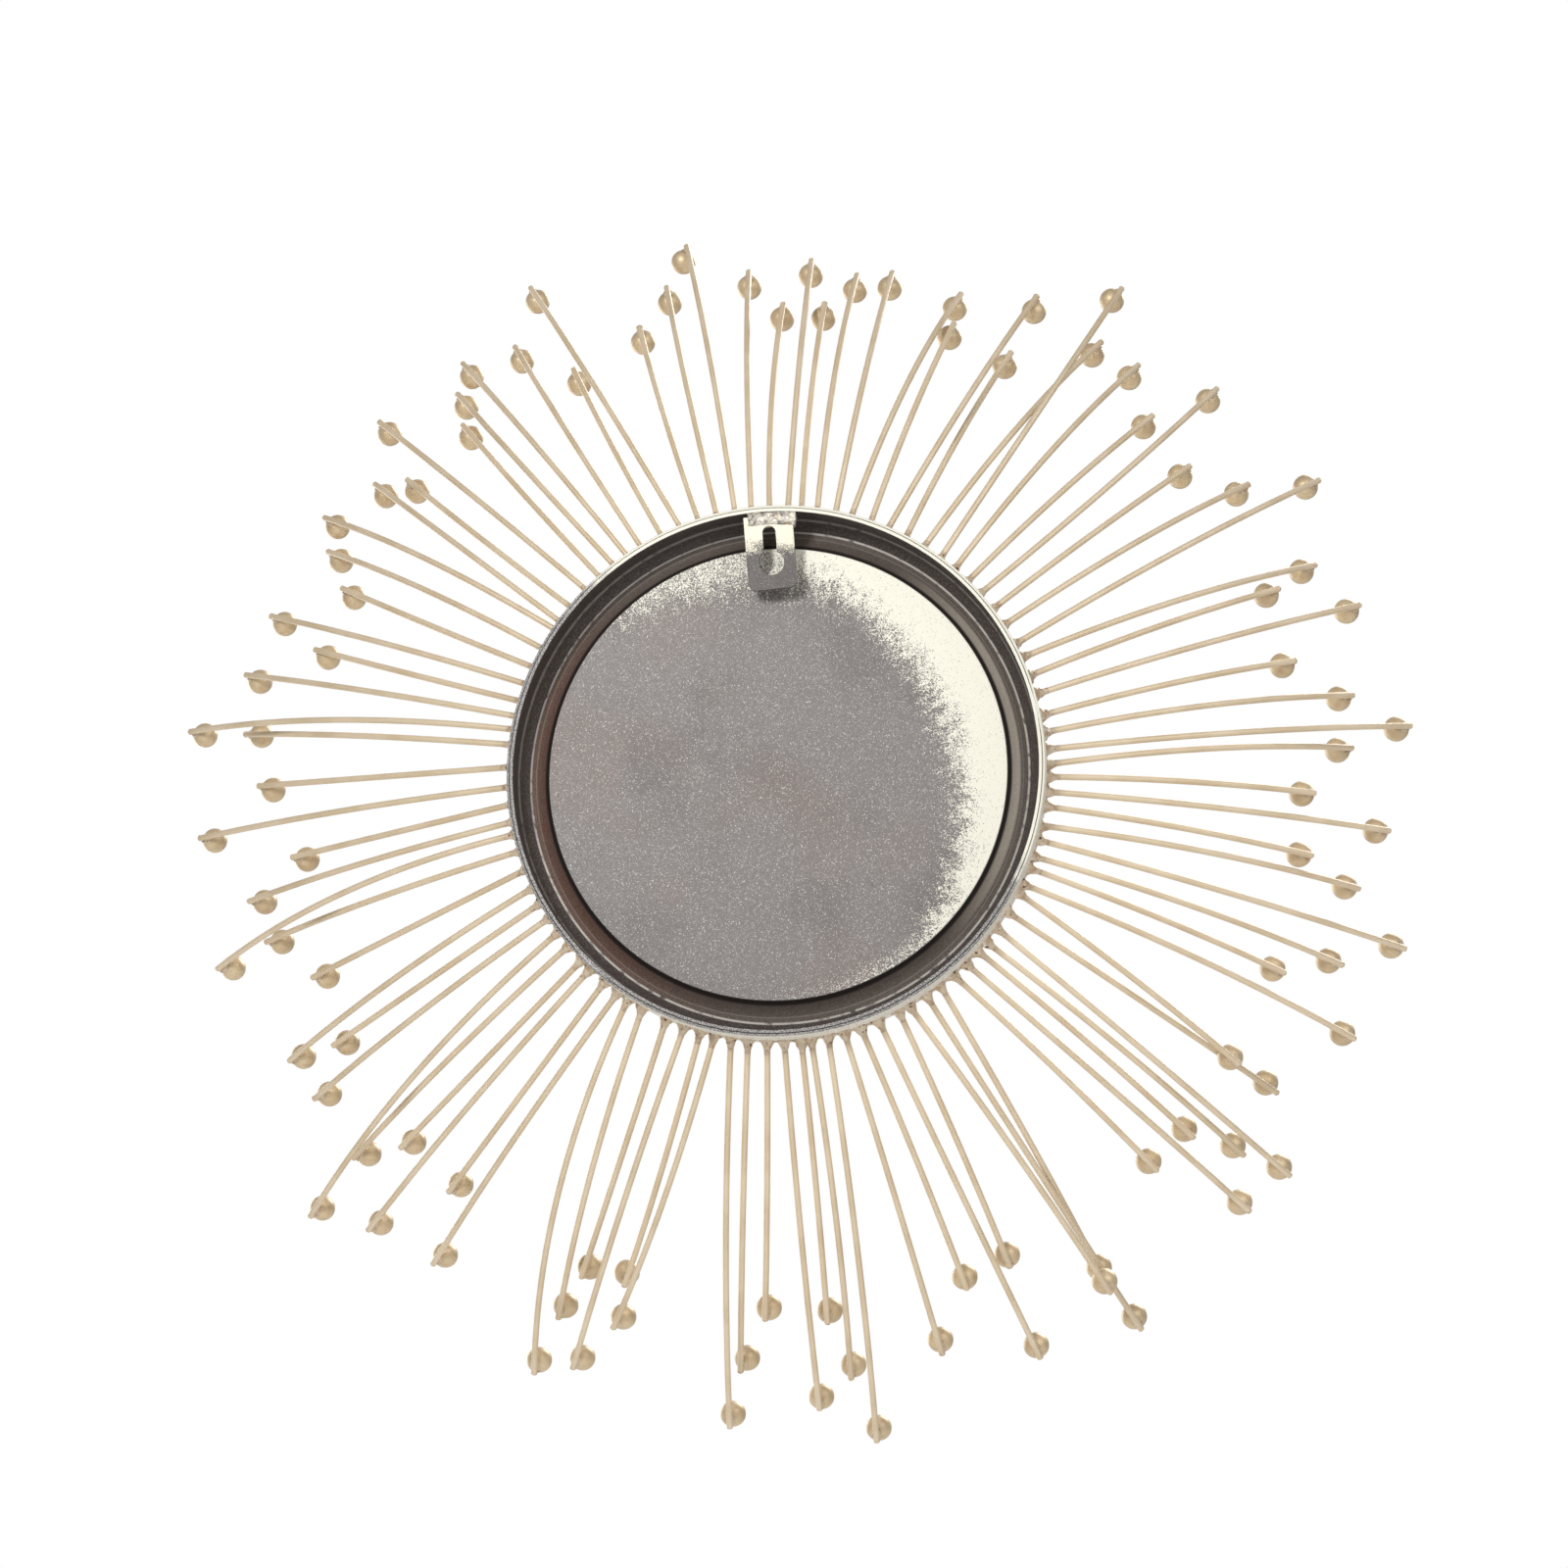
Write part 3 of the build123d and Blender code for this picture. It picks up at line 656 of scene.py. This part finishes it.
def studio_world():
    """White to the camera; lights the object more from before and behind the mirror than from the sides."""
    world = bpy.data.worlds.new("studio")
    world.use_nodes = True
    tree = world.node_tree
    tree.nodes.clear()
    output = tree.nodes.new("ShaderNodeOutputWorld")
    seen = tree.nodes.new("ShaderNodeBackground")
    lit = tree.nodes.new("ShaderNodeBackground")
    pick = tree.nodes.new("ShaderNodeMixShader")
    path = tree.nodes.new("ShaderNodeLightPath")
    place = tree.nodes.new("ShaderNodeTexCoord")
    split = tree.nodes.new("ShaderNodeSeparateXYZ")
    absolute = tree.nodes.new("ShaderNodeMath")
    strength = tree.nodes.new("ShaderNodeMapRange")
    absolute.operation = "ABSOLUTE"
    strength.inputs["To Min"].default_value = 0.12
    strength.inputs["To Max"].default_value = 0.52
    seen.inputs["Color"].default_value = (1, 1, 1, 1)
    lit.inputs["Color"].default_value = (1, 1, 1, 1)
    tree.links.new(place.outputs["Generated"], split.inputs[0])
    tree.links.new(split.outputs["Y"], absolute.inputs[0])
    tree.links.new(absolute.outputs[0], strength.inputs["Value"])
    tree.links.new(strength.outputs["Result"], lit.inputs["Strength"])
    tree.links.new(path.outputs["Is Camera Ray"], pick.inputs["Fac"])
    tree.links.new(lit.outputs[0], pick.inputs[1])
    tree.links.new(seen.outputs[0], pick.inputs[2])
    tree.links.new(pick.outputs[0], output.inputs["Surface"])
    bpy.context.scene.world = world


def camera():
    """A long lens behind the mirror, a little to its right as seen from there and below its middle."""
    distance = 2.1
    side, below, roll = radians(6.95), asin(0.2043), radians(0.718)
    place = Vector((-sin(side) * cos(below), cos(side) * cos(below), -sin(below))) * distance
    lens = bpy.data.cameras.new("camera")
    lens.lens = 94.5
    lens.sensor_width = 36
    lens.shift_x = 0.0065
    lens.shift_y = -0.0108
    made = bpy.data.objects.new("camera", lens)
    turn = (-place).to_track_quat("-Z", "Y") @ Quaternion((0, 0, 1), roll)
    made.matrix_world = Matrix.LocRotScale(place, turn, None)
    bpy.context.scene.collection.objects.link(made)
    bpy.context.scene.camera = made


build_object()
pale_floor()
area_light("key", (0.80, 2.2, 0.78), 0.5, 30)
area_light("fill", (-1.5, 1.7, 0.9), 1.6, 18)
area_light("front_key", (-0.9, -1.8, 1.5), 1.2, 45)
area_light("front_fill", (1.4, -1.6, 0.1), 1.4, 16)
studio_world()
camera()
bpy.context.scene.view_settings.view_transform = "Standard"
